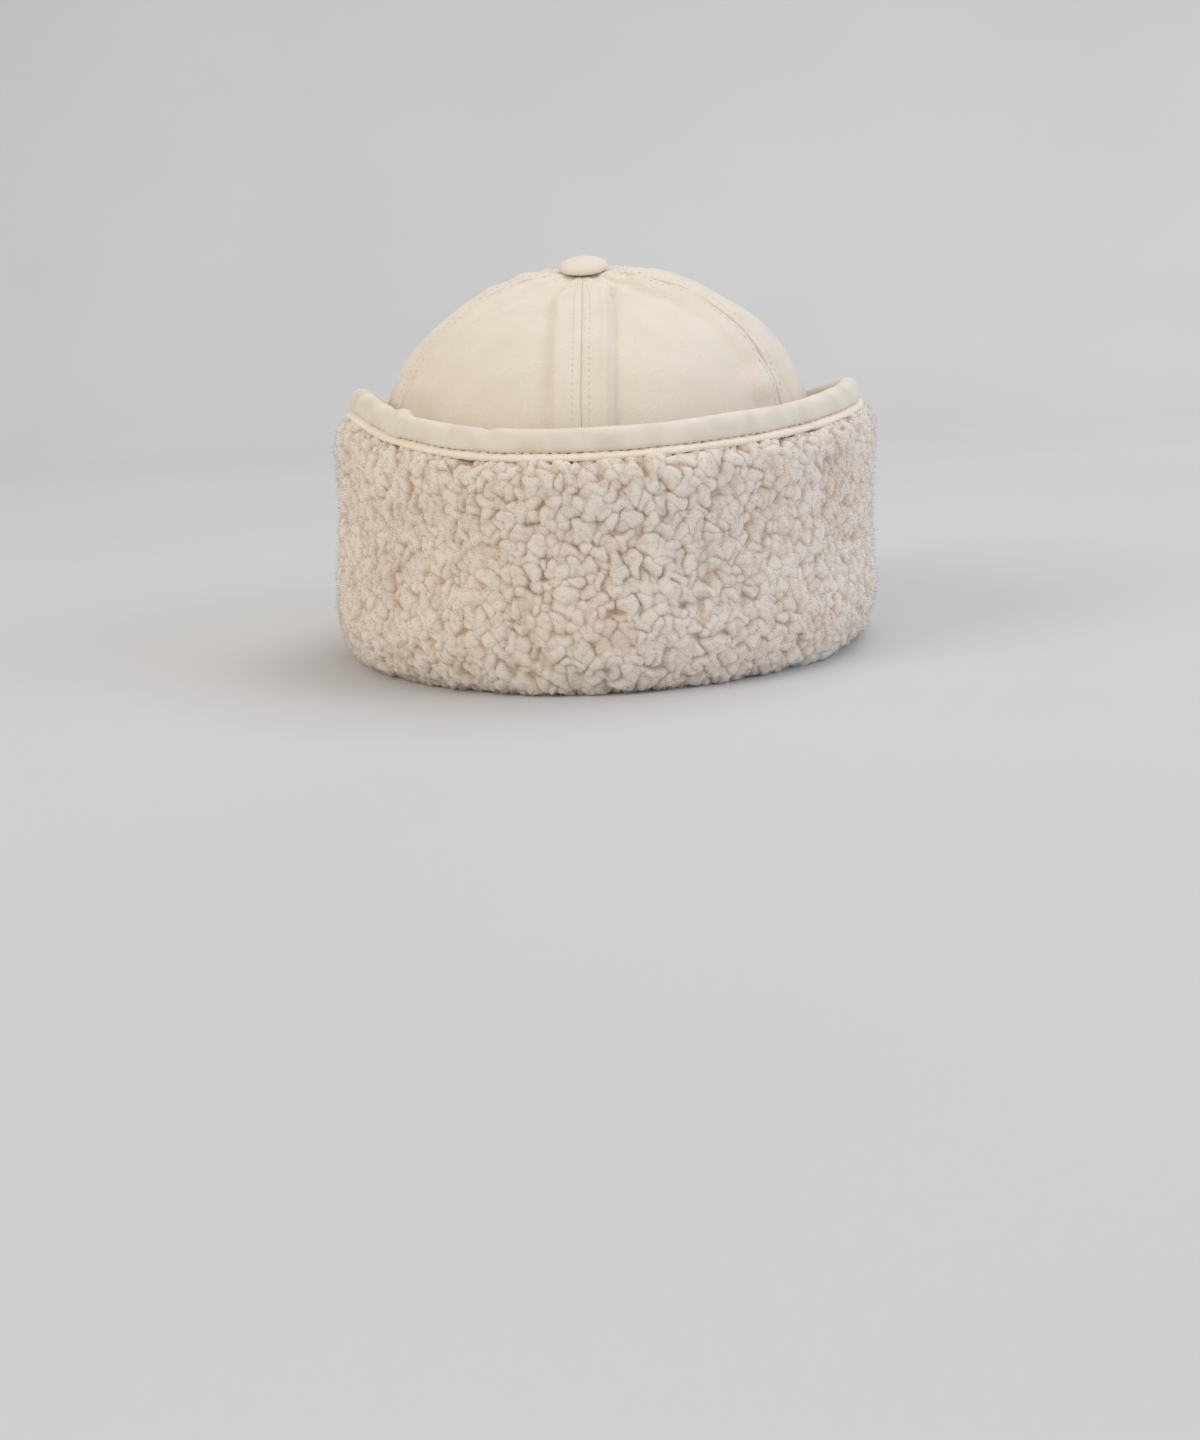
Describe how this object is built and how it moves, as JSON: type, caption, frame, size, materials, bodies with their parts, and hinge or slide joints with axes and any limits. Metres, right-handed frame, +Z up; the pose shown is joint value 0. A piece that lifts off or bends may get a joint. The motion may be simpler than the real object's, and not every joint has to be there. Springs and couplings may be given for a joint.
{
  "type": "earflap cap",
  "caption": "Winter cap with a panelled cloth crown, a covered top button and a deep curly-fleece earflap turned up all round under a bound edge.",
  "frame": {"origin": "on the ground under the middle of the rim, where the turned-up flap rests", "axes": "+Z up through the crown, -Y the cap's front, +X the wearer's left"},
  "size_m": [0.2108, 0.2438, 0.1483],
  "materials": {
    "cotton": "ivory brushed cotton twill, matt",
    "fleece": "oatmeal curly pile fleece, matt and deep",
    "binding_tape": "ivory folded tape with a soft sheen"
  },
  "bodies": {
    "root": {"crown_panel_front_left": "cotton", "crown_panel_front_right": "cotton", "crown_panel_side_left": "cotton", "crown_panel_side_right": "cotton", "crown_panel_back_left": "cotton", "crown_panel_back_right": "cotton", "crown_button": "cotton", "flap_cloth": "cotton", "flap_fleece_front": "fleece", "flap_fleece_left": "fleece", "flap_fleece_back": "fleece", "flap_fleece_right": "fleece", "edge_binding": "binding_tape"}
  },
  "joints": []
}
